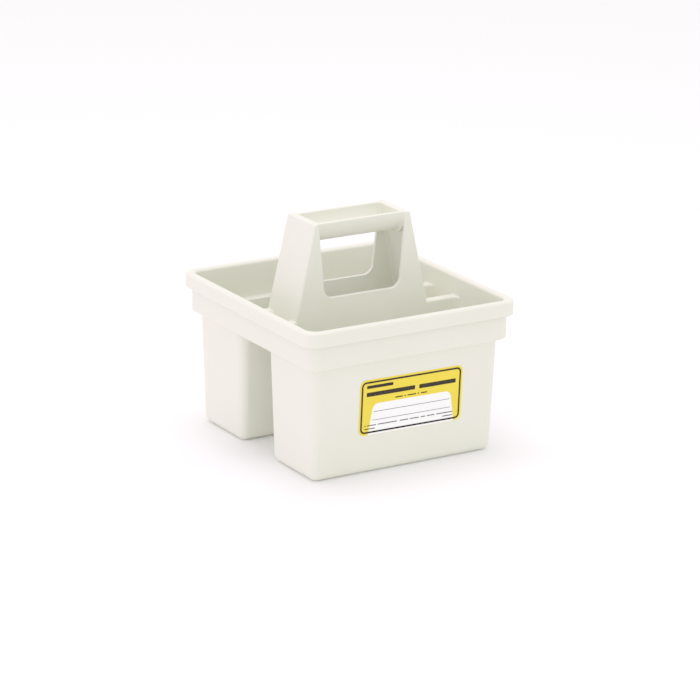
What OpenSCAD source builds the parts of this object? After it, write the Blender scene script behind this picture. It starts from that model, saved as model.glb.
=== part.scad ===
// Cleaning caddy: a moulded tote with two deep bins, two small side pockets and a
// central handle whose grip is a pen tray, and an adhesive label on the front bin.
// Origin at the middle of the footprint, on the surface the bins stand on. +Z up,
// the label faces -Y. Every part below except the label is one moulding in the real
// caddy: the parts meet face to face where the plastic runs on.

/* [Overall] */
// Width over the rim, along the label side
caddy_w = 170; // [150:1:190]
// Depth over the rim, front to back
caddy_d = 177.5; // [160:0.5:200]
// Height of the rim above the floor
rim_h = 111; // [100:1:125]
// Height of the top of the handle
handle_h = 163.5; // [155:0.5:180]
// Thickness of the moulded walls
wall = 2.6; // [2:0.1:3]

/* [Bins] */
// Height at which the bins meet the stepped-out band
bin_h = 82.3; // [76:0.1:88]
// How far the bins stand inside the rim at the top of the bins
bin_inset = 9.3; // [9:0.1:10]
// How much more a bin's outer faces draw in at the floor
bin_draft = 2.8; // [1:0.1:4]
// Half width of the channel between the bins at their top
channel_top = 17.6; // [16:0.1:19]
// Half width of the channel between the bins at the floor
channel_floor = 21; // [20:0.1:23]
// Corner radius of a bin, seen from above, at its top
bin_r_top = 7.4; // [6:0.1:9]
// Corner radius of a bin, seen from above, at the floor
bin_r_floor = 5.8; // [5:0.1:7]
// Radius between a bin's walls and its floor, outside
bin_r_edge = 4.5; // [4:0.1:4.9]

/* [Band and rim] */
// How far the band stands inside the rim
band_inset = 3.7; // [3.4:0.1:4]
// Corner radius of the band, seen from above
band_r = 9.5; // [9:0.1:11]
// Radius under the band's outer edge
band_edge = 2.4; // [1:0.1:3]
// Height of the rim lip's outer face
lip_h = 10.7; // [8:0.1:13]
// Corner radius of the rim lip, seen from above
lip_r = 10.9; // [10:0.1:12]
// Thickness of the rim lip's outer skirt
lip_skirt = 2.2; // [1.8:0.1:2.4]
// Radius of the rounded top of the rim
rim_round = 2.9; // [2:0.1:3]

/* [Pockets] */
// Height of the dividing walls beside the pockets
divider_h = 96.8; // [92:0.1:102]
// Half width of a pocket between its dividing walls
pocket_half_d = 12.9; // [12:0.1:14]
// Radius of the dividing walls' top edges
divider_round = 1.4; // [0.8:0.1:2]
// Fillet in the pocket's upright corners
pocket_fillet = 3; // [2:0.5:4]
// Fillet in the bins' corners beside the dividing walls
divider_fillet = 5; // [3:0.5:6]

/* [Handle] */
// Half width of the handle's top
handle_top_w = 38.7; // [36:0.1:42]
// Half depth of the handle's top
handle_top_d = 18.6; // [18:0.1:19]
// Slope of the handle's narrow faces, width lost per unit of height
side_slope = 0.22; // [0.18:0.01:0.24]
// Slope of the handle's wide faces, depth lost per unit of height
face_slope = 0.0195; // [0.015:0.0005:0.02]
// Height of the window's sill
sill_h = 110.4; // [108:0.1:114]
// Half width of the window at its sill
window_half_w = 30.4; // [28:0.1:32]
// Slope of the window's sides
window_slope = 0.094; // [0:0.001:0.1]
// Radius of the window's lower corners
window_r = 7.5; // [4:0.5:10]

/* [Grip tray] */
// Outer radius of the half-round tray
tray_r = 16.1; // [15.6:0.1:16.5]
// Thickness of the tray's shell
tray_wall = 2.8; // [2.2:0.1:3]
// Half length of the tray's hollow
tray_half_w = 33.2; // [31:0.1:34]

/* [Label] */
// Width of the label
label_w = 83.3; // [60:0.1:90]
// Height of the label
label_h = 40.3; // [25:0.1:42]
// Corner radius of the label
label_r = 4.6; // [2:0.1:8]
// Thickness of the label
label_t = 0.25; // [0.15:0.05:0.4]
// Middle of the label to the right of the caddy's middle
label_x = 3.8; // [0:0.1:20]
// Height of the label's middle
label_z = 48; // [40:0.5:52]
// How far the label leans clockwise, in degrees
label_lean = 0.6; // [0:0.1:3]

/* [Hidden] */

plastic = [0.93, 0.91, 0.86];
label_yellow = [0.94, 0.86, 0.28];

skin = 0.01;
slack = 1;
ledge_h = bin_h + wall;
lip_low = rim_h - lip_h;
band_out_w = caddy_w / 2 - band_inset;
band_out_d = caddy_d / 2 - band_inset;
band_in_w = band_out_w - wall;
band_in_d = band_out_d - wall;
bin_out_w = caddy_w / 2 - bin_inset;
bin_out_d = caddy_d / 2 - bin_inset;
bin_in_w = bin_out_w - wall;
bin_in_d = bin_out_d - wall;
bin_in_r = bin_r_top - wall;
face_draft = atan(bin_draft / bin_h);

// Half width and half depth of the handle's outer faces at a height
function handle_w(z) = handle_top_w + side_slope * (handle_h - z);
function handle_d(z) = handle_top_d + face_slope * (handle_h - z);

module rounded_rect(half_x, half_y, r) {
    square([2 * (half_x - r), 2 * half_y], center = true);
    square([2 * half_x, 2 * (half_y - r)], center = true);
    for (sx = [-1, 1], sy = [-1, 1])
        translate([sx * (half_x - r), sy * (half_y - r)]) circle(r, $fn = 64);
}

// Flat ring between two rounded outlines
module ring(out_x, out_y, out_r, in_x, in_y, in_r, z, h) {
    translate([0, 0, z]) linear_extrude(h) difference() {
        rounded_rect(out_x, out_y, out_r);
        rounded_rect(in_x, in_y, in_r);
    }
}

// Sweeps a profile along the outline of a rounded rectangle. The profile's x is
// measured from the corner radius's centre, its y is the height.
module sweep_outline(half_x, half_y, r) {
    for (side = [0, 1], turn = [0, 180]) {
        run = side == 0 ? half_x - r : half_y - r;
        reach = side == 0 ? half_y - r : half_x - r;
        rotate([0, 0, turn + 90 * side]) translate([-run, reach, 0])
            rotate([90, 0, 90]) linear_extrude(2 * run) children();
    }
    for (sx = [-1, 1], sy = [-1, 1])
        translate([sx * (half_x - r), sy * (half_y - r), 0])
            rotate([0, 0, sx > 0 ? (sy > 0 ? 0 : -90) : (sy > 0 ? 90 : 180)])
                rotate_extrude(angle = 90, $fn = 64) children();
}

// What a rounded edge takes off a square one. sx and sy point out of the corner.
module edge_waste(x, y, r, sx, sy) {
    difference() {
        translate([x - sx * r, y - sy * r])
            translate([sx > 0 ? 0 : -(r + slack), sy > 0 ? 0 : -(r + slack)])
                square(r + slack);
        translate([x - sx * r, y - sy * r]) circle(r, $fn = 48);
    }
}

// Drafted block with rounded upright corners and a rounded bottom edge, from its
// half size, middle and corner radius at the bottom and at the top
module drafted_block(z0, z1, x0, x1, y0a, y0b, y1a, y1b, r0, r1, edge) {
    hull() {
        for (sx = [-1, 1], y = [y0a + r0, y0b - r0])
            translate([sx * (x0 - r0), y, z0 + edge]) rotate_extrude($fn = 32)
                intersection() {
                    translate([r0 - edge, 0]) circle(edge, $fn = 32);
                    translate([0, -edge]) square([r0, edge]);
                }
        translate([0, (y1a + y1b) / 2, z1 - skin]) linear_extrude(skin)
            rounded_rect(x1, (y1b - y1a) / 2, r1, $fn = 32);
    }
}

module bin() {
    out_floor_w = bin_out_w - bin_draft;
    out_floor_d = bin_out_d - bin_draft;
    difference() {
        drafted_block(0, bin_h, out_floor_w, bin_out_w, channel_floor, out_floor_d,
                      channel_top, bin_out_d, bin_r_floor, bin_r_top, bin_r_edge);
        drafted_block(wall, bin_h + skin, out_floor_w - wall, bin_in_w,
                      channel_floor + wall, out_floor_d - wall, channel_top + wall,
                      bin_in_d, bin_r_floor - wall, bin_in_r, bin_r_floor - wall);
    }
}

module front_bin() {
    color(plastic) mirror([0, 1, 0]) bin();
}

module rear_bin() {
    color(plastic) bin();
}

// The stepped-out band: a ledge over the bins' rims and the wall above it
module rim_band() {
    color(plastic) difference() {
        union() {
            ring(band_out_w, band_out_d, band_r, bin_in_w, bin_in_d, bin_in_r, bin_h, wall);
            ring(band_out_w, band_out_d, band_r, band_in_w, band_in_d, band_r - wall,
                 ledge_h, lip_low - ledge_h);
        }
        sweep_outline(band_out_w, band_out_d, band_r)
            edge_waste(band_r, bin_h, band_edge, 1, -1);
    }
}

// The rolled rim: the wall's top, turned out and down as a skirt
module rim_lip() {
    gap_w = caddy_w / 2 - lip_skirt;
    gap_d = caddy_d / 2 - lip_skirt;
    color(plastic) difference() {
        union() {
            ring(band_out_w, band_out_d, band_r, band_in_w, band_in_d, band_r - wall,
                 lip_low, lip_h);
            ring(caddy_w / 2, caddy_d / 2, lip_r, band_in_w, band_in_d, band_r - wall,
                 rim_h - wall - rim_round / 2, wall + rim_round / 2);
            ring(caddy_w / 2, caddy_d / 2, lip_r, gap_w, gap_d, lip_r - lip_skirt,
                 lip_low, lip_h - wall);
        }
        sweep_outline(caddy_w / 2, caddy_d / 2, lip_r)
            edge_waste(lip_r, rim_h, rim_round, 1, 1);
        sweep_outline(band_in_w, band_in_d, band_r - wall)
            edge_waste(band_r - wall, rim_h, rim_round, -1, 1);
    }
}

// Everything between the handle's narrow faces, drawn in by a margin
module handle_wedge(z0, z1, margin = 0) {
    w0 = handle_w(z0) - margin;
    w1 = handle_w(z1) - margin;
    translate([0, caddy_d / 2, 0]) rotate([90, 0, 0]) linear_extrude(caddy_d)
        polygon([[-w0, z0], [w0, z0], [w1, z1], [-w1, z1]]);
}

// Block inside the handle's four outer faces, drawn in by a margin
module handle_block(z0, z1, margin) {
    d0 = handle_d(z0) - margin;
    d1 = handle_d(z1) - margin;
    intersection() {
        handle_wedge(z0, z1, margin);
        translate([-caddy_w / 2, 0, 0]) rotate([90, 0, 90]) linear_extrude(caddy_w)
            polygon([[-d0, z0], [d0, z0], [d1, z1], [-d1, z1]]);
    }
}

// Outline of the window, open at the top
module window_outline() {
    top = handle_h + slack;
    low_w = window_half_w;
    top_w = low_w + window_slope * (top - sill_h);
    corner_w = low_w + window_slope * window_r - window_r;
    polygon([[-corner_w, sill_h], [corner_w, sill_h], [corner_w + window_r, sill_h + window_r],
             [top_w, top], [-top_w, top], [-corner_w - window_r, sill_h + window_r]]);
    for (sx = [-1, 1])
        translate([sx * corner_w, sill_h + window_r]) circle(window_r, $fn = 64);
}

// Four leaning walls with a window in the front and in the back
module handle_frame() {
    color(plastic) difference() {
        handle_block(bin_h, handle_h, 0);
        handle_block(bin_h - slack, handle_h + slack, wall);
        translate([0, caddy_d / 2, 0]) rotate([90, 0, 0])
            linear_extrude(caddy_d) window_outline();
    }
}

// Half-round tray along the top of the handle: the grip, open at the top
module grip_tray() {
    end_w = handle_w(handle_h) - wall;
    low_w = handle_w(handle_h - tray_r) - wall;
    color(plastic) difference() {
        intersection() {
            translate([-low_w, 0, handle_h]) rotate([0, 90, 0])
                cylinder(h = 2 * low_w, r = tray_r, $fn = 96);
            handle_block(handle_h - tray_r - slack, handle_h, wall);
            translate([0, tray_r, 0]) rotate([90, 0, 0]) linear_extrude(2 * tray_r)
                polygon([[-end_w, handle_h], [end_w, handle_h],
                         [tray_half_w + tray_wall / 2, handle_h - tray_r - slack],
                         [-tray_half_w - tray_wall / 2, handle_h - tray_r - slack]]);
        }
        translate([-tray_half_w, 0, handle_h]) rotate([0, 90, 0])
            cylinder(h = 2 * tray_half_w, r = tray_r - tray_wall, $fn = 96);
    }
}

// One dividing wall's outline from its end: two skins joined over a narrow gap
module divider_profile(gap) {
    face = handle_d(divider_h);
    base = handle_d(bin_h);
    difference() {
        polygon([[pocket_half_d, bin_h], [base, bin_h], [face, divider_h],
                 [pocket_half_d, divider_h]]);
        edge_waste(face, divider_h, divider_round, 1, 1);
        edge_waste(pocket_half_d, divider_h, divider_round, -1, 1);
        if (gap)
            translate([pocket_half_d + 2, bin_h - slack])
                square([channel_top - pocket_half_d - 2, divider_h - wall - bin_h + slack]);
    }
}

// Fillet in the corner at (x, y) that fills towards sx, sy
module corner_fillet(x, y, r, sx, sy) {
    translate([x, y]) difference() {
        translate([sx > 0 ? 0 : -r, sy > 0 ? 0 : -r]) square(r);
        translate([sx * r, sy * r]) circle(r, $fn = 48);
    }
}

// Fillet between a dividing wall and the handle's leaning narrow face
module leaning_fillet() {
    intersection() {
        translate([handle_w(ledge_h), 0, ledge_h]) rotate([0, -atan(side_slope), 0])
            translate([0, 0, -slack]) linear_extrude(divider_h - ledge_h + 2 * slack) {
                corner_fillet(0, pocket_half_d, pocket_fillet, 1, -1);
                translate([-slack, pocket_half_d - pocket_fillet]) square([slack, pocket_fillet]);
            }
        translate([0, 0, ledge_h])
            cube([caddy_w / 2, pocket_half_d, divider_h - divider_round - ledge_h]);
    }
}

// Small pocket between the handle and the side of the band, over the channel
module pocket() {
    start_w = handle_w(divider_h) - slack;
    color(plastic) difference() {
        union() {
            translate([start_w, -pocket_half_d, bin_h])
                cube([bin_in_w - start_w, 2 * pocket_half_d, wall]);
            for (side = [0, 1]) mirror([0, side, 0]) {
                translate([start_w, 0, 0]) rotate([90, 0, 90])
                    linear_extrude(bin_in_w - start_w) divider_profile(true);
                translate([bin_in_w, 0, 0]) rotate([90, 0, 90])
                    linear_extrude(band_in_w - bin_in_w) intersection() {
                        divider_profile(false);
                        translate([0, ledge_h]) square(divider_h);
                    }
                leaning_fillet();
                translate([0, 0, ledge_h])
                    linear_extrude(divider_h - divider_round - ledge_h) {
                        corner_fillet(band_in_w, pocket_half_d, pocket_fillet, -1, -1);
                        corner_fillet(band_in_w, handle_d(divider_h), divider_fillet, -1, 1);
                    }
            }
        }
        handle_wedge(bin_h - slack, divider_h + slack);
    }
}

module left_pocket() {
    mirror([1, 0, 0]) pocket();
}

module right_pocket() {
    pocket();
}

// Adhesive label, lying on the front bin's drafted face
module label() {
    face_y = -(bin_out_d - bin_draft * (1 - label_z / bin_h));
    color(label_yellow) translate([label_x, face_y, label_z])
        rotate([90 + face_draft, 0, 0]) rotate([0, 0, -label_lean])
            linear_extrude(label_t) rounded_rect(label_w / 2, label_h / 2, label_r);
}

front_bin();
rear_bin();
rim_band();
rim_lip();
left_pocket();
right_pocket();
handle_frame();
grip_tray();
label();
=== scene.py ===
"""Looks of a moulded plastic caddy: one ivory polypropylene moulding, built here region by region as its
CAD nodes are, and the adhesive label on its front bin. Lengths are in metres, in the CAD's frame."""

import math

import bmesh
import bpy
from mathutils import Matrix, Vector
from mathutils.geometry import tessellate_polygon


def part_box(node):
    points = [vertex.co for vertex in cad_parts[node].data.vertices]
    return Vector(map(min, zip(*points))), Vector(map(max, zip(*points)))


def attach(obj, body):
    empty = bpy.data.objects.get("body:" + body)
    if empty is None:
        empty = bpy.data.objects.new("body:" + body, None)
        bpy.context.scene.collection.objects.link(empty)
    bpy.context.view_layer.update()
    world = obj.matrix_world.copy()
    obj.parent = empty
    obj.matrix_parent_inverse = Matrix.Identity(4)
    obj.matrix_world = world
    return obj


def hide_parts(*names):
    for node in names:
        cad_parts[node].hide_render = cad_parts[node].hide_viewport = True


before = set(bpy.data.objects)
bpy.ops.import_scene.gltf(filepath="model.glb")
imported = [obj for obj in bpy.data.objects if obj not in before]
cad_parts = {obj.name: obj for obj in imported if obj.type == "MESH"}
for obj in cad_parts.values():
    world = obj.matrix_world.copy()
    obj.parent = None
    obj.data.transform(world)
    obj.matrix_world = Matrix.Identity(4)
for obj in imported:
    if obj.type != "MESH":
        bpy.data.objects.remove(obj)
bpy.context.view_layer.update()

MM = 0.001

# How far one region is sunk into the next, so that no seam shows: usual, deep, shallow, barely.
EMBED = 0.6 * MM
DEEP = 2.2 * MM
SHALLOW = 0.15 * MM
HAIR = 0.012 * MM

# Points closer than this are one point, and the least radius of a rounded corner.
MERGE = 0.002 * MM
LEAST_R = 0.02 * MM

# ---- sizes, from the CAD nodes' boxes where a box gives them ----------------------------------------

RIM_X, RIM_Y, RIM_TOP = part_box("rim_lip")[1]
LIP_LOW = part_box("rim_lip")[0].z
BAND_X, BAND_Y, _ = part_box("rim_band")[1]
BIN_X, BIN_Y, BIN_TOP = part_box("rear_bin")[1]
HANDLE_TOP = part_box("handle_frame")[1].z
TRAY_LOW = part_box("grip_tray")[0].z
DIVIDER_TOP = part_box("left_pocket")[1].z
WALL = 2.6 * MM

# Bins: how far the walls lean in, the channel between the bins, and the rounds of corners and edges.
BIN_DRAFT = 2.8 * MM
CHANNEL_TOP = 17.6 * MM
CHANNEL_FLOOR = 21.0 * MM
BIN_R_TOP = 7.4 * MM
BIN_R_FLOOR = 5.8 * MM
BIN_EDGE = 5.6 * MM
BIN_INNER_FILLET = 2.9 * MM

# Band and its ledge, then the rolled rim with its skirt and the thickness of its top.
LEDGE_TOP = BIN_TOP + WALL
LEDGE_ROUND = 0.9 * MM
LEDGE_COVE = 0.7 * MM
BAND_R = 9.5 * MM
BAND_EDGE = 2.4 * MM
LIP_R = 10.9 * MM
LIP_SKIRT = 2.2 * MM
LIP_END_ROUND = 0.7 * MM
LIP_TOP_THICK = WALL + 0.5 * MM
RIM_ROUND = 2.3 * MM
RIM_SHOULDER = RIM_TOP - RIM_ROUND - 3.0 * MM

# Pockets and the dividing walls beside them, with the gap between a dividing wall's two skins.
POCKET_Y = 12.9 * MM
POCKET_FILLET = 3.0 * MM
DIVIDER_FILLET = 5.0 * MM
DIVIDER_ROUND = 1.6 * MM
DIVIDER_GAP = (POCKET_Y + 2.0 * MM, CHANNEL_TOP)
DIVIDER_GAP_R = 0.2 * MM

# Handle: half sizes at its top, the lean of its sides and faces, its window and its rounded edges.
HANDLE_TOP_X = 38.7 * MM
HANDLE_TOP_Y = 18.6 * MM
SIDE_SLOPE = 0.22
FACE_SLOPE = 0.0195
SILL = 110.4 * MM
WINDOW_X = 30.4 * MM
WINDOW_SLOPE = 0.094
WINDOW_R = 7.5 * MM
CORNER_ROUND = 1.3 * MM
TOP_ROUND = 0.7 * MM
WINDOW_ROUND = 0.6 * MM
WINDOW_INNER_ROUND = 0.3 * MM
HANDLE_COVE = 2.5 * MM

# Tray: a half-round trough that flares over a short length, as a quarter circle, to meet the window's edges.
TRAY_TOP = HANDLE_TOP - HAIR
TRAY_R = HANDLE_TOP - TRAY_LOW
TRAY_RIM_ROUND = 0.6 * MM
TRAY_HOLLOW_R = TRAY_R - 2.8 * MM
TRAY_HOLLOW_X = 33.2 * MM
TRAY_HOLLOW_END_R = 1.5 * MM
TRAY_HOLLOW_STEPS = 18
TRAY_HOLLOW_LAST = math.radians(88)
TRAY_FLARE = 4.5 * MM
TRAY_FLARE_SHARES = (0.0, 0.25, 0.45, 0.62, 0.76, 0.87, 0.95, 1.0)


def handle_x(z):
    """Half width of the handle's outer faces at a height."""
    return HANDLE_TOP_X + SIDE_SLOPE * (HANDLE_TOP - z)


def handle_y(z):
    """Half depth of the handle's outer faces at a height."""
    return HANDLE_TOP_Y + FACE_SLOPE * (HANDLE_TOP - z)


def window_half(z):
    """Half width of the handle's window at a height, above its rounded lower corners."""
    return WINDOW_X + WINDOW_SLOPE * (z - SILL)


# ---- mesh helpers -----------------------------------------------------------------------------------


def arc(centre, radius, start, end, steps):
    """Points of an arc from one angle to another, in degrees."""
    return [
        (
            centre[0] + radius * math.cos(math.radians(start + (end - start) * i / steps)),
            centre[1] + radius * math.sin(math.radians(start + (end - start) * i / steps)),
        )
        for i in range(steps + 1)
    ]


def rounded_ring(x0, x1, y0, y1, r, z, corner=10, side=4):
    """A level rounded rectangle, anticlockwise from above, always with the same number of points."""
    r = max(r, LEAST_R)
    points = []
    corners = [(x1 - r, y1 - r, 0), (x0 + r, y1 - r, 90), (x0 + r, y0 + r, 180), (x1 - r, y0 + r, 270)]
    for n, (cx, cy, turn) in enumerate(corners):
        curve = arc((cx, cy), r, turn, turn + 90, corner)
        points += curve
        nx, ny, after = corners[(n + 1) % 4]
        start = Vector(curve[-1])
        end = Vector((nx + r * math.cos(math.radians(after)), ny + r * math.sin(math.radians(after))))
        points += [tuple(start.lerp(end, i / side)) for i in range(1, side)]
    return [(x, y, z) for x, y in points]


def loft(rings, looped=False):
    """Vertices and faces of a skin over rings of equal length, capped at both ends unless it is looped."""
    n = len(rings[0])
    verts = [p for ring in rings for p in ring]
    faces = []
    for a in range(len(rings) if looped else len(rings) - 1):
        b = (a + 1) % len(rings)
        for i in range(n):
            j = (i + 1) % n
            faces.append((a * n + i, a * n + j, b * n + j, b * n + i))
    if not looped:
        faces.append(tuple(reversed(range(n))))
        faces.append(tuple((len(rings) - 1) * n + i for i in range(n)))
    return verts, faces


def swept(profile):
    """A closed profile of (half width, radius, height) swept round the caddy's rounded outline."""
    depth = RIM_Y - RIM_X
    rings = [rounded_ring(-x, x, -x - depth, x + depth, r, z, corner=14, side=6) for x, r, z in profile]
    return loft(rings, looped=True)


def joined(*shells):
    """Several closed shells as one list of vertices and faces."""
    verts, faces = [], []
    for v, f in shells:
        base = len(verts)
        verts += v
        faces += [tuple(base + i for i in face) for face in f]
    return verts, faces


def mirrored(shell, axis):
    """The same shell on the other side of the caddy."""
    flip = [1, 1, 1]
    flip[axis] = -1
    return [tuple(c * f for c, f in zip(p, flip)) for p in shell[0]], shell[1]


def add_piece(name, mesh, material, node):
    """An object in the scene that rides on the caddy and, where a node is named, stands for that node."""
    mesh.materials.append(material)
    obj = bpy.data.objects.new(name, mesh)
    bpy.context.scene.collection.objects.link(obj)
    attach(obj, "root")
    if node:
        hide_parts(node)
    return obj


def make_piece(name, shell, material, node=None, sharp=38):
    """A piece from vertices and faces, smooth but for edges sharper than an angle in degrees."""
    mesh = bpy.data.meshes.new(name)
    mesh.from_pydata([tuple(p) for p in shell[0]], [], shell[1])
    bm = bmesh.new()
    bm.from_mesh(mesh)
    bmesh.ops.remove_doubles(bm, verts=bm.verts, dist=MERGE)
    bmesh.ops.dissolve_degenerate(bm, edges=bm.edges, dist=MERGE / 2)
    bmesh.ops.recalc_face_normals(bm, faces=bm.faces)
    bm.to_mesh(mesh)
    bm.free()
    mesh.shade_smooth()
    mesh.set_sharp_from_angle(angle=math.radians(sharp))
    return add_piece(name, mesh, material, node)


def weight_normals(obj):
    """Flat faces stay flat in shading, and fillets run into them smoothly."""
    modifier = obj.modifiers.new("face_weighted", "WEIGHTED_NORMAL")
    modifier.keep_sharp = True


# ---- materials --------------------------------------------------------------------------------------

# Where a colour's patches begin and end in the noise, how far the grain moves the roughness, and how far
# the grain's noise lies from the patches' noise.
PATCH_START = 0.32
PATCH_END = 0.68
ROUGHNESS_SWING = 0.05
GRAIN_SEED_STEP = 5


def node_maker(material):
    """Two calls for building a material: one makes a node with its settings, one links two sockets."""
    tree = material.node_tree

    def make(kind, **settings):
        node = tree.nodes.new(kind)
        for key, value in settings.items():
            if hasattr(node, key):
                setattr(node, key, value)
            else:
                node.inputs[key.replace("_", " ")].default_value = value
        return node

    return make, tree.links.new


def surface(name, roughness, specular):
    """A new material and its shader."""
    material = bpy.data.materials.new(name)
    material.use_nodes = True
    shader = material.node_tree.nodes["Principled BSDF"]
    shader.inputs["Roughness"].default_value = roughness
    shader.inputs["Specular IOR Level"].default_value = specular
    return material, shader


def mottled(name, dark, light, roughness, specular, patch, grain, bump, seed):
    """A surface whose colour drifts over patches, with a fine grain in its height and roughness.
    patch and grain are the noise scales, in features per metre, and bump is the grain's height."""
    material, shader = surface(name, roughness, specular)
    make, link = node_maker(material)
    place = make("ShaderNodeTexCoord")
    drift = make("ShaderNodeTexNoise", noise_dimensions="4D", W=seed, Scale=patch, Detail=3.0)
    link(place.outputs["Object"], drift.inputs["Vector"])
    ramp = make("ShaderNodeValToRGB")
    ramp.color_ramp.elements[0].position = PATCH_START
    ramp.color_ramp.elements[0].color = (*dark, 1)
    ramp.color_ramp.elements[1].position = PATCH_END
    ramp.color_ramp.elements[1].color = (*light, 1)
    link(drift.outputs["Fac"], ramp.inputs["Fac"])
    link(ramp.outputs["Color"], shader.inputs["Base Color"])
    fine = make("ShaderNodeTexNoise", noise_dimensions="4D", W=seed + GRAIN_SEED_STEP, Scale=grain, Detail=2.0)
    link(place.outputs["Object"], fine.inputs["Vector"])
    spread = make("ShaderNodeMapRange")
    spread.inputs["To Min"].default_value = roughness - ROUGHNESS_SWING
    spread.inputs["To Max"].default_value = roughness + ROUGHNESS_SWING
    link(fine.outputs["Fac"], spread.inputs["Value"])
    link(spread.outputs["Result"], shader.inputs["Roughness"])
    height = make("ShaderNodeBump", Strength=1.0, Distance=bump)
    link(fine.outputs["Fac"], height.inputs["Height"])
    link(height.outputs["Normal"], shader.inputs["Normal"])
    return material


PLASTIC = mottled("ivory_polypropylene", dark=(0.735, 0.745, 0.61), light=(0.755, 0.765, 0.635),
                  roughness=0.42, specular=0.42, patch=22.0, grain=950.0, bump=0.012 * MM, seed=0.0)
FILM = mottled("yellow_film", dark=(0.82, 0.60, 0.012), light=(0.86, 0.64, 0.016),
               roughness=0.45, specular=0.2, patch=60.0, grain=1500.0, bump=0.006 * MM, seed=2.0)
PAPER_WHITE = mottled("white_print", dark=(0.95, 0.96, 0.95), light=(0.98, 0.99, 0.98),
                      roughness=0.5, specular=0.2, patch=80.0, grain=2500.0, bump=0.006 * MM, seed=3.0)
INK = mottled("dark_ink", dark=(0.008, 0.006, 0.004), light=(0.016, 0.012, 0.008),
              roughness=0.6, specular=0.06, patch=200.0, grain=3000.0, bump=0.004 * MM, seed=4.0)
INK_GREY = mottled("grey_ink", dark=(0.07, 0.065, 0.055), light=(0.10, 0.095, 0.085),
                   roughness=0.6, specular=0.06, patch=200.0, grain=3000.0, bump=0.004 * MM, seed=6.0)

# ---- bins -------------------------------------------------------------------------------------------


def bin_ring(z, inset):
    """Outline of the rear bin at a height, drawn in by a margin."""
    rise = z / BIN_TOP
    drawn_in = BIN_DRAFT * (1 - rise) + inset
    near = CHANNEL_FLOOR + (CHANNEL_TOP - CHANNEL_FLOOR) * rise + inset
    radius = BIN_R_FLOOR + (BIN_R_TOP - BIN_R_FLOOR) * rise - inset
    return rounded_ring(drawn_in - BIN_X, BIN_X - drawn_in, near, BIN_Y - drawn_in, radius, z)


def bin_shell():
    """The rear bin: the outside from the floor up, then the inside from the mouth down."""
    rings = [bin_ring(BIN_EDGE - y, BIN_EDGE - x) for x, y in arc((0, 0), BIN_EDGE, 90, 0, 7)]
    rings += [bin_ring(BIN_TOP * share, 0) for share in (0.3, 0.6, 0.85, 1)]
    rings += [bin_ring(BIN_TOP * share, WALL) for share in (1, 0.8, 0.5, 0.2)]
    for x, y in arc((0, 0), BIN_INNER_FILLET, 0, 90, 6):
        rings.append(bin_ring(WALL + BIN_INNER_FILLET - y, WALL + BIN_INNER_FILLET - x))
    return loft(rings)


REAR = bin_shell()
weight_normals(make_piece("rear_bin_shell", REAR, PLASTIC, "rear_bin"))
weight_normals(make_piece("front_bin_shell", mirrored(REAR, 1), PLASTIC, "front_bin"))

# ---- band and rim -----------------------------------------------------------------------------------


def band_shell():
    """The wall of the band, with a cove where it meets the ledge."""
    inner = BAND_X - WALL
    foot = inner - LEDGE_COVE
    profile = [(foot, BIN_TOP)]
    profile += arc((BAND_X - BAND_EDGE, BIN_TOP + BAND_EDGE), BAND_EDGE, -90, 0, 6)
    profile += [(BAND_X, (LEDGE_TOP + LIP_LOW) / 2), (BAND_X, LIP_LOW), (inner, LIP_LOW)]
    profile += arc((foot, LEDGE_TOP + LEDGE_COVE), LEDGE_COVE, 0, -90, 5)
    return swept([(x, BAND_R - (BAND_X - x), z) for x, z in profile])


def mouth_shell():
    """The ledge round the rear bin's mouth, rounded along its inner edge."""
    inner_x, inner_y, near = BIN_X - WALL, BIN_Y - WALL, CHANNEL_TOP + WALL
    outer_x, outer_y = BAND_X - WALL + SHALLOW, BAND_Y - WALL + SHALLOW
    radius = BIN_R_TOP - WALL
    rings = []
    for grow, z in arc((LEDGE_ROUND, LEDGE_TOP - LEDGE_ROUND), LEDGE_ROUND, 180, 90, 5):
        rings.append(rounded_ring(-inner_x - grow, inner_x + grow, near - grow, inner_y + grow,
                                  radius + grow, z))
    for z in (LEDGE_TOP, BIN_TOP + HAIR):
        rings.append(rounded_ring(-outer_x, outer_x, CHANNEL_TOP + EMBED, outer_y,
                                  radius + LEDGE_ROUND, z))
    rings.append(rounded_ring(-inner_x, inner_x, near, inner_y, radius, BIN_TOP + HAIR))
    return loft(rings, looped=True)


def lip_shell():
    """The rolled rim: an upside-down J whose long side runs into the band's wall."""
    inner = BAND_X - WALL
    skirt = RIM_X - LIP_SKIRT
    roof = RIM_TOP - LIP_TOP_THICK
    end = LIP_END_ROUND
    profile = [(RIM_X, RIM_SHOULDER)]
    profile += arc((RIM_X - end, LIP_LOW + end), end, 0, -90, 4)
    profile += arc((skirt + end, LIP_LOW + end), end, -90, -180, 4)
    profile += [(skirt, roof), (BAND_X, roof), (BAND_X, LIP_LOW), (inner, LIP_LOW)]
    profile += [(inner, RIM_SHOULDER)]
    profile += arc((inner + RIM_ROUND, RIM_TOP - RIM_ROUND), RIM_ROUND, 180, 90, 8)
    profile += arc((RIM_X - RIM_ROUND, RIM_TOP - RIM_ROUND), RIM_ROUND, 90, 0, 8)

    def corner_radius(x):
        """Radius of the outline's corners, which grows at one rate in the wall and another in the lip."""
        if x >= BAND_X:
            return BAND_R + (LIP_R - BAND_R) * (x - BAND_X) / (RIM_X - BAND_X)
        return BAND_R - (BAND_X - x)

    return swept([(x, corner_radius(x), z) for x, z in profile])


REAR_MOUTH = mouth_shell()
weight_normals(make_piece("rim_band_wall", joined(band_shell(), REAR_MOUTH, mirrored(REAR_MOUTH, 1)),
                          PLASTIC, "rim_band"))
weight_normals(make_piece("rim_lip_bead", lip_shell(), PLASTIC, "rim_lip"))

# ---- pockets ----------------------------------------------------------------------------------------


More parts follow.
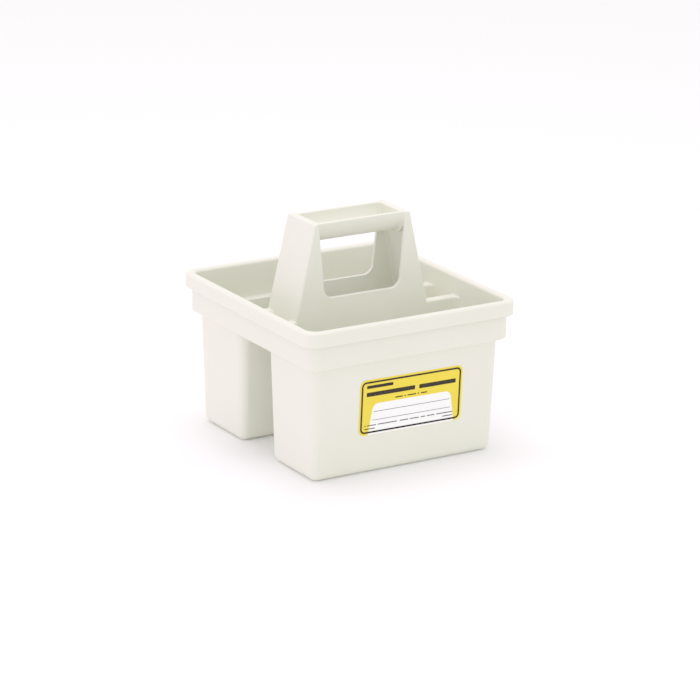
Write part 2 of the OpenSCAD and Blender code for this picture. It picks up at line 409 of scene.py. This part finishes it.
def divider_ring(z, inset=0.0, deep=DEEP):
    """Outline of the dividing wall on the right, rear side, flaring where it meets the band and the handle.
    deep is how far its end is sunk into the band."""
    start, end = handle_x(z), BAND_X - WALL
    base = handle_y(min(z, DIVIDER_TOP)) + HAIR
    near, far = POCKET_Y - POCKET_FILLET, base + DIVIDER_FILLET
    fillet, far_fillet = POCKET_FILLET + inset, DIVIDER_FILLET + inset
    points = [(start - DEEP, base - inset), (start - DEEP, near)]
    points += arc((start + POCKET_FILLET, near), fillet, 180, 90, 8)
    points += arc((end - POCKET_FILLET, near), fillet, 90, 0, 8)
    points += [(end + deep, near), (end + deep, far)]
    points += arc((end - DIVIDER_FILLET, far), far_fillet, 0, -90, 8)
    points += [((start + end - DIVIDER_FILLET) / 2, base - inset)]
    return [(x, y, z) for x, y in points]


def gap_ring(z):
    """Outline of the gap between a dividing wall's two skins. It has as many points as divider_ring, and
    starts at the point that lies next to divider_ring's first."""
    x0, x1 = handle_x(z) + EMBED, BIN_X - WALL - EMBED
    ring = rounded_ring(x0, x1, *DIVIDER_GAP, DIVIDER_GAP_R, z, corner=5, side=3)
    first = 9
    return ring[first:] + ring[:first]


def divider_shell():
    """One dividing wall, hollow from below, its top edges rounded."""
    rings = [gap_ring(DIVIDER_TOP - WALL), gap_ring(BIN_TOP + HAIR)]
    rings += [divider_ring(BIN_TOP + HAIR, deep=SHALLOW), divider_ring(LEDGE_TOP)]
    rings.append(divider_ring(DIVIDER_TOP - DIVIDER_ROUND))
    for x, y in arc((0, 0), DIVIDER_ROUND, 15, 90, 5):
        rings.append(divider_ring(DIVIDER_TOP - DIVIDER_ROUND + y, DIVIDER_ROUND - x))
    return loft(rings)


def pocket_floor():
    """The right pocket's floor plate, its edges sunk into the walls round it."""
    x0, x1 = handle_x(LEDGE_TOP) - EMBED, BAND_X - WALL + SHALLOW
    y1 = POCKET_Y + EMBED
    low = BIN_TOP + HAIR
    return loft([rounded_ring(x0, x1, -y1, y1, 0.1 * MM, z, corner=1, side=2) for z in (low, LEDGE_TOP)])


RIGHT_DIVIDER = divider_shell()
RIGHT_POCKET = joined(RIGHT_DIVIDER, mirrored(RIGHT_DIVIDER, 1), pocket_floor())
weight_normals(make_piece("right_pocket_walls", RIGHT_POCKET, PLASTIC, "right_pocket"))
weight_normals(make_piece("left_pocket_walls", mirrored(RIGHT_POCKET, 0), PLASTIC, "left_pocket"))

# ---- handle -----------------------------------------------------------------------------------------

# The handle's two ends: a skin's corners there, and which point of the window's outline is nearest.
ENDS = (("low_left", "top_left", 0), ("low_right", "top_right", -1))


def window_edge():
    """The window's outline from its top left, down, along the sill and up to its top right."""
    corner_x = WINDOW_X + WINDOW_SLOPE * WINDOW_R - WINDOW_R
    lean = math.degrees(math.atan(WINDOW_SLOPE))
    right = arc((corner_x, SILL + WINDOW_R), WINDOW_R, -90, -lean, 10)
    right += [(window_half(HANDLE_TOP), HANDLE_TOP)]
    return [(-x, z) for x, z in reversed(right)] + right


def broad_skin(bm, side, depth):
    """Points of the front or back wall's skin: its window's outline and its four corners.
    depth is 0 for the outer skin and a wall for the inner one."""

    def at(x, z):
        return bm.verts.new((x, side * (handle_y(z) - depth), z))

    low, top = BIN_TOP, HANDLE_TOP
    return {
        "window": [at(x, z) for x, z in window_edge()],
        "low_left": at(depth - handle_x(low), low),
        "low_right": at(handle_x(low) - depth, low),
        "top_left": at(depth - handle_x(top), top),
        "top_right": at(handle_x(top) - depth, top),
    }


def skin_faces(bm, skins):
    """Faces of the four walls and of the edges that join their outer and inner skins."""
    for s in skins.values():
        bm.faces.new([s["low_left"], s["low_right"], s["top_right"], *reversed(s["window"]), s["top_left"]])
    for side in (-1, 1):
        out, inn = skins[side, 0], skins[side, WALL]
        for a, b, c, d in zip(out["window"], out["window"][1:], inn["window"][1:], inn["window"]):
            bm.faces.new([a, b, c, d])
        bm.faces.new([out["low_left"], out["low_right"], inn["low_right"], inn["low_left"]])
    for depth in (0, WALL):
        front, back = skins[-1, depth], skins[1, depth]
        for low, top, _ in ENDS:
            bm.faces.new([front[low], front[top], back[top], back[low]])
    out_f, in_f, in_b, out_b = skins[-1, 0], skins[-1, WALL], skins[1, WALL], skins[1, 0]
    for low, top, end in ENDS:
        bm.faces.new([out_f[low], in_f[low], in_b[low], out_b[low]])
        bm.faces.new([out_f[top], out_f["window"][end], in_f["window"][end], in_f[top],
                      in_b[top], in_b["window"][end], out_b["window"][end], out_b[top]])


def mark_rounds(bm, skins):
    """Gives the rounded edges the widths that they are bevelled by, and leaves the others sharp."""
    weights = bm.edges.layers.float.new("bevel_weight_edge")

    def round_edge(a, b, width):
        bm.edges.get((a, b))[weights] = width / CORNER_ROUND

    for side in (-1, 1):
        out, inn = skins[side, 0], skins[side, WALL]
        for low, top, end in ENDS:
            round_edge(out[low], out[top], CORNER_ROUND)
            round_edge(out[top], out["window"][end], TOP_ROUND)
        for a, b in zip(out["window"], out["window"][1:]):
            round_edge(a, b, WINDOW_ROUND)
        for a, b in zip(inn["window"], inn["window"][1:]):
            round_edge(a, b, WINDOW_INNER_ROUND)
    for _, top, _ in ENDS:
        round_edge(skins[-1, 0][top], skins[1, 0][top], TOP_ROUND)
    for edge in bm.edges:
        edge.smooth = edge[weights] > 0


def handle_piece():
    """The four leaning walls, front and back with a window."""
    bm = bmesh.new()
    skins = {(side, depth): broad_skin(bm, side, depth) for side in (-1, 1) for depth in (0, WALL)}
    skin_faces(bm, skins)
    bmesh.ops.recalc_face_normals(bm, faces=bm.faces)
    mark_rounds(bm, skins)
    mesh = bpy.data.meshes.new("handle_frame_walls")
    bm.to_mesh(mesh)
    bm.free()
    mesh.shade_smooth()
    obj = add_piece("handle_frame_walls", mesh, PLASTIC, "handle_frame")
    bevel = obj.modifiers.new("rounded_edges", "BEVEL")
    bevel.limit_method = "WEIGHT"
    bevel.width = CORNER_ROUND
    bevel.segments = 4
    bevel.profile = 0.5
    bevel.miter_outer = "MITER_SHARP"
    bevel.use_clamp_overlap = False
    bevel.harden_normals = False
    weight_normals(obj)


def corner_cove(side_x, side_y, steps=12):
    """Fillet up one inner corner of the handle, narrowing as the window comes closer."""
    rings = []
    for i in range(steps + 1):
        z = BIN_TOP + HAIR + (HANDLE_TOP - EMBED - BIN_TOP) * i / steps
        x, y = handle_x(z) - WALL, handle_y(z) - WALL
        room = x - window_half(max(z, SILL))
        r = min(HANDLE_COVE, 0.9 * room)
        outline = [(x + EMBED, y + EMBED), (x - r, y + EMBED)]
        outline += arc((x - r, y - r), r, 90, 0, 7) + [(x + EMBED, y - r)]
        rings.append([(side_x * px, side_y * py, z) for px, py in outline])
    return loft(rings)


handle_piece()
COVES = joined(*[corner_cove(sx, sy) for sx in (-1, 1) for sy in (-1, 1)])
weight_normals(make_piece("handle_corner_coves", COVES, PLASTIC))

# ---- tray -------------------------------------------------------------------------------------------


def tray_row(x, radius, limit):
    """Points across the tray's outside, from the inner side of its front rim, over the rounded rim, round the
    bottom and back up, no further out than limit. x gives the row's place along the tray at a height."""
    turn = math.degrees(math.asin(TRAY_RIM_ROUND / radius))
    reach = radius * math.cos(math.radians(turn))
    points = arc((TRAY_RIM_ROUND - reach, -TRAY_RIM_ROUND), TRAY_RIM_ROUND, 90, 180, 4)[:-1]
    points += arc((0, 0), radius, 180 + turn, 360 - turn, 26)
    points += arc((reach - TRAY_RIM_ROUND, -TRAY_RIM_ROUND), TRAY_RIM_ROUND, 0, 90, 4)[1:]
    return [(x(TRAY_TOP + z), max(-limit, min(limit, y)), TRAY_TOP + z) for y, z in points]


def tray_outside():
    """Rows along the tray's outside, which flares out to the window's upright edges and, behind the handle's
    broad faces, runs on at its full width into the end walls."""
    widest = HANDLE_TOP_Y - SHALLOW
    rows = []
    for side in (-1, 1):
        half = []
        for share in TRAY_FLARE_SHARES:

            def flare_x(z, share=share):
                return side * (window_half(z) + EMBED - TRAY_FLARE * (1 - share))

            radius = TRAY_R + (widest - TRAY_R) * (1 - math.sqrt(1 - share * share))
            half.append(tray_row(flare_x, radius, widest))

        def behind_x(z):
            return side * (window_half(z) + EMBED + HAIR)

        def end_x(z):
            return side * (handle_x(z) - WALL + HAIR)

        half += [tray_row(x, widest, HANDLE_TOP_Y - WALL) for x in (behind_x, end_x)]
        rows += half if side > 0 else half[::-1]
    return rows


def tray_hollow():
    """Level outlines of the tray's hollow, from its rounded rim down its half-round sides to the bottom."""
    rings = []

    def outline(half_x, half_y, drop):
        corner = min(TRAY_HOLLOW_END_R, half_y)
        rings.append(rounded_ring(-half_x, half_x, -half_y, half_y, corner, TRAY_TOP - drop, corner=5, side=6))

    turn = math.asin(TRAY_RIM_ROUND / TRAY_HOLLOW_R)
    side_y = TRAY_HOLLOW_R * math.cos(turn)
    for grow, rise in arc((TRAY_RIM_ROUND, -TRAY_RIM_ROUND), TRAY_RIM_ROUND, 90, 180, 4)[:-1]:
        outline(TRAY_HOLLOW_X + grow, side_y + grow, -rise)
    for i in range(TRAY_HOLLOW_STEPS + 1):
        t = turn + (TRAY_HOLLOW_LAST - turn) * i / TRAY_HOLLOW_STEPS
        drop = TRAY_HOLLOW_R * math.sin(t)
        near_foot = max(0.0, TRAY_HOLLOW_END_R - (TRAY_HOLLOW_R - drop))
        foot = TRAY_HOLLOW_END_R - math.sqrt(TRAY_HOLLOW_END_R**2 - near_foot**2)
        outline(TRAY_HOLLOW_X - foot, TRAY_HOLLOW_R * math.cos(t), drop)
    return rings


def tray_shell():
    """The half-round tray: its outside, its hollow and the flat top of the rim between them."""
    verts, faces = [], []
    rows, rings = tray_outside(), tray_hollow()
    width, around = len(rows[0]), len(rings[0])
    for line in rows + rings:
        verts += line

    for a in range(len(rows) - 1):
        for i in range(width - 1):
            faces.append((a * width + i, a * width + i + 1, (a + 1) * width + i + 1, (a + 1) * width + i))
    base = len(rows) * width
    for a in range(len(rings) - 1):
        for i in range(around):
            low, j = base + a * around, (i + 1) % around
            faces.append((low + i, low + around + i, low + around + j, low + j))
    faces.append(tuple(base + (len(rings) - 1) * around + i for i in range(around)))
    faces.append(tuple(range(width)))
    faces.append(tuple((len(rows) - 1) * width + i for i in reversed(range(width))))

    front_rim = [a * width for a in range(len(rows))]
    back_rim = [a * width + width - 1 for a in reversed(range(len(rows)))]
    border = front_rim + back_rim
    mouth = [base + i for i in range(around)]
    loops = [[Vector(verts[i]) for i in loop] for loop in (border, mouth)]
    index = border + mouth
    faces += [tuple(index[i] for i in corners) for corners in tessellate_polygon(loops)]
    return verts, faces


weight_normals(make_piece("grip_tray_shell", tray_shell(), PLASTIC, "grip_tray"))

# ---- label ------------------------------------------------------------------------------------------

# The label's size and its place on the front bin, with its lean in degrees.
LABEL_W = 83.3 * MM
LABEL_H = 40.3 * MM
LABEL_R = 4.6 * MM
LABEL_THICK = 0.25 * MM
LABEL_EDGE = 0.1 * MM
LABEL_X = 3.8 * MM
LABEL_Z = 48.0 * MM
LABEL_LEAN = 0.6
HALF_W, HALF_H = LABEL_W / 2, LABEL_H / 2

# One layer of print, then the levels where print starts, where the white panel ends and where ink ends.
PRINT = 0.02 * MM
PRINT_LOW = LABEL_THICK - PRINT
PANEL_LEVEL = LABEL_THICK + PRINT
PRINT_LEVEL = LABEL_THICK + 2 * PRINT

# The dark line round the label: how far in it lies, its width, and the radius that its corners are
# drawn in from.
BORDER_INSET = 1.25 * MM
BORDER_WIDE = 1.5 * MM
BORDER_R = LABEL_R + 0.4 * MM

# The white panel: its foot and its top, half its width there, its corners and how far right it lies.
PANEL_LOW = -HALF_H + 0.12 * MM
PANEL_TOP = 2.3 * MM
PANEL_X_LOW = 34.8 * MM
PANEL_X_TOP = 32.0 * MM
PANEL_R = 5.0 * MM
PANEL_SHIFT = 0.8 * MM

# Heights of the printed bars in millimetres, and the share of its height that rounds a bar's corners.
HEADING_H = 3.2
MARK_H = 2.4
SMALL_H = 1.0
SMALLEST_H = 0.8
RULED_H = 0.5
BAR_ROUND = 0.2

FACE_LEAN = math.atan(BIN_DRAFT / BIN_TOP)
FACE_Y = -(BIN_Y - BIN_DRAFT * (1 - LABEL_Z / BIN_TOP))
LABEL_FRAME = (
    Matrix.Translation((LABEL_X, FACE_Y, LABEL_Z))
    @ Matrix.Rotation(math.pi / 2 + FACE_LEAN, 4, "X")
    @ Matrix.Rotation(math.radians(-LABEL_LEAN), 4, "Z")
)


def label_piece(name, shell, material, node=None):
    """A piece drawn flat about the label's middle and stood against the front bin's leaning face."""
    verts = [tuple(LABEL_FRAME @ Vector(p)) for p in shell[0]]
    return make_piece(name, (verts, shell[1]), material, node)


def label_ring(inset, radius, z):
    """The label's rounded outline, drawn in by a margin."""
    return rounded_ring(-HALF_W + inset, HALF_W - inset, -HALF_H + inset, HALF_H - inset, radius - inset, z)


def plate(outline, low, high):
    """A flat plate between two levels."""
    return loft([[(x, y, low) for x, y in outline], [(x, y, high) for x, y in outline]])


def film_shell():
    """The film, its outer edge eased at the top."""
    return loft([label_ring(inset, LABEL_R, z)
                 for inset, z in ((0.0, 0.0), (0.0, LABEL_THICK * 0.6), (LABEL_EDGE, LABEL_THICK))])


def panel_outline():
    """The white writing panel, wider at its foot, with rounded upper corners."""
    right = [(PANEL_X_LOW, PANEL_LOW)]
    right += arc((PANEL_X_TOP - PANEL_R, PANEL_TOP - PANEL_R), PANEL_R, 0, 90, 8)
    outline = right + [(-x, y) for x, y in reversed(right)]
    return [(x + PANEL_SHIFT, y) for x, y in outline]


def border_shell():
    """The dark line round the label."""
    near, far = BORDER_INSET, BORDER_INSET + BORDER_WIDE
    section = ((near, PRINT_LOW), (near, PRINT_LEVEL), (far, PRINT_LEVEL), (far, PRINT_LOW))
    return loft([label_ring(inset, BORDER_R, z) for inset, z in section], looped=True)


def print_line(start, y, height, *lengths):
    """Bars for one line of print, in millimetres from the label's middle. lengths are those of its words
    and of the gaps between them, in turn."""
    low, high = (y - height / 2) * MM, (y + height / 2) * MM
    shells = []
    for i, length in enumerate(lengths):
        if i % 2 == 0:
            ring = rounded_ring(start * MM, (start + length) * MM, low, high, height * BAR_ROUND * MM, 0,
                                corner=8, side=2)
            shells.append(plate([(x, y) for x, y, _ in ring], PRINT_LOW, PRINT_LEVEL))
        start += length
    return shells


label_piece("label_film", film_shell(), FILM, "label")
label_piece("label_writing_panel", plate(panel_outline(), PRINT_LOW, PANEL_LEVEL), PAPER_WHITE)
label_piece("label_border", border_shell(), INK)

RULED_LINES = print_line(-30.0, -3.5, RULED_H, 62.0) + print_line(-30.8, -9.6, RULED_H, 63.4)
HEADING = print_line(-36.2, 9.4, HEADING_H, 39.2, 3.2, 30.0) + print_line(-36.2, 14.8, MARK_H, 21.2)
SMALL_PRINT = print_line(-12.9, 4.5, SMALL_H, 6.0, 1.3, 1.2, 1.3, 7.1, 1.2, 1.2, 1.4, 5.1)
SMALL_PRINT += print_line(-37.0, -13.2, SMALLEST_H, 1.1, 0.9, 7.6, 1.1, 15.7, 2.2, 7.0, 1.2, 7.4, 1.4, 3.8,
                          1.2, 6.4, 1.3, 13.3)
SMALL_PRINT += print_line(-37.0, -15.6, SMALLEST_H, 8.6, 54.8, 8.2)
label_piece("label_ruled_lines", joined(*RULED_LINES), INK_GREY)
label_piece("label_heading_bars", joined(*HEADING), INK)
label_piece("label_small_print", joined(*SMALL_PRINT), INK)

# ---- floor, light and camera ------------------------------------------------------------------------

FLOOR_HALF = 30.0
FLOOR_DROP = 0.02 * MM
FLOOR_COLOUR = (0.93, 0.93, 0.925, 1)

LIGHTS_AIM = (0, 0, 0.11)
SKY_COLOUR = (1.0, 0.99, 0.995, 1)
SKY_STRENGTH = 0.93
GAMMA = 1.6

# Where the camera looks from, in degrees and metres, its lens and sensor in millimetres, and how far up
# and to the right of the origin it aims.
CAMERA_AZIMUTH = -31.684
CAMERA_ELEVATION = 17.706
CAMERA_ROLL = 0.875
CAMERA_DISTANCE = 2.4179
CAMERA_LENS = 176.7
CAMERA_SENSOR = 36
CAMERA_AIM_Z = 63.07 * MM
CAMERA_AIM_SIDE = 2.09 * MM


def make_floor():
    """A plain pale floor, just below the caddy."""
    size = FLOOR_HALF
    mesh = bpy.data.meshes.new("studio_floor")
    mesh.from_pydata([(-size, -size, 0), (size, -size, 0), (size, size, 0), (-size, size, 0)], [],
                     [(0, 1, 2, 3)])
    obj = bpy.data.objects.new("studio_floor", mesh)
    bpy.context.scene.collection.objects.link(obj)
    material, shader = surface("pale_floor", roughness=0.9, specular=0.1)
    shader.inputs["Base Color"].default_value = FLOOR_COLOUR
    mesh.materials.append(material)
    obj.location.z = -FLOOR_DROP


def make_light(name, place, size, power, colour):
    """A round soft light that faces the caddy."""
    light = bpy.data.lights.new(name, "AREA")
    light.shape = "DISK"
    light.size = size
    light.energy = power
    light.color = colour
    obj = bpy.data.objects.new(name, light)
    bpy.context.scene.collection.objects.link(obj)
    obj.location = place
    obj.rotation_mode = "QUATERNION"
    obj.rotation_quaternion = (Vector(LIGHTS_AIM) - Vector(place)).to_track_quat("-Z", "Y")


def make_sky():
    """An even pale light from all round."""
    world = bpy.data.worlds.new("studio_air")
    bpy.context.scene.world = world
    world.use_nodes = True
    background = world.node_tree.nodes["Background"]
    background.inputs["Color"].default_value = SKY_COLOUR
    background.inputs["Strength"].default_value = SKY_STRENGTH


def make_camera():
    """The camera, at the reference picture's angle."""
    a, e = math.radians(CAMERA_AZIMUTH), math.radians(CAMERA_ELEVATION)
    back = Vector((math.sin(a) * math.cos(e), -math.cos(a) * math.cos(e), math.sin(e)))
    right = Vector((math.cos(a), math.sin(a), 0))
    up = back.cross(right)
    roll = math.radians(CAMERA_ROLL)
    x_axis = right * math.cos(roll) + up * math.sin(roll)
    y_axis = up * math.cos(roll) - right * math.sin(roll)
    data = bpy.data.cameras.new("camera")
    data.lens = CAMERA_LENS
    data.sensor_width = CAMERA_SENSOR
    data.clip_start, data.clip_end = 0.05, 100
    obj = bpy.data.objects.new("camera", data)
    bpy.context.scene.collection.objects.link(obj)
    place = Vector((0, 0, CAMERA_AIM_Z)) + right * CAMERA_AIM_SIDE + back * CAMERA_DISTANCE
    turn = Matrix((x_axis, y_axis, back)).transposed().to_4x4()
    obj.matrix_world = Matrix.Translation(place) @ turn
    bpy.context.scene.camera = obj


make_floor()
make_light("side_softbox", place=(-1.5, -0.1, 0.115), size=0.32, power=2.1, colour=(1.0, 0.42, 1.0))
make_light("top_softbox", place=(-0.05, 0.15, 1.6), size=0.9, power=8.5, colour=(1.0, 0.76, 0.96))
make_sky()
make_camera()
bpy.context.scene.view_settings.view_transform = "Standard"
bpy.context.scene.view_settings.gamma = GAMMA
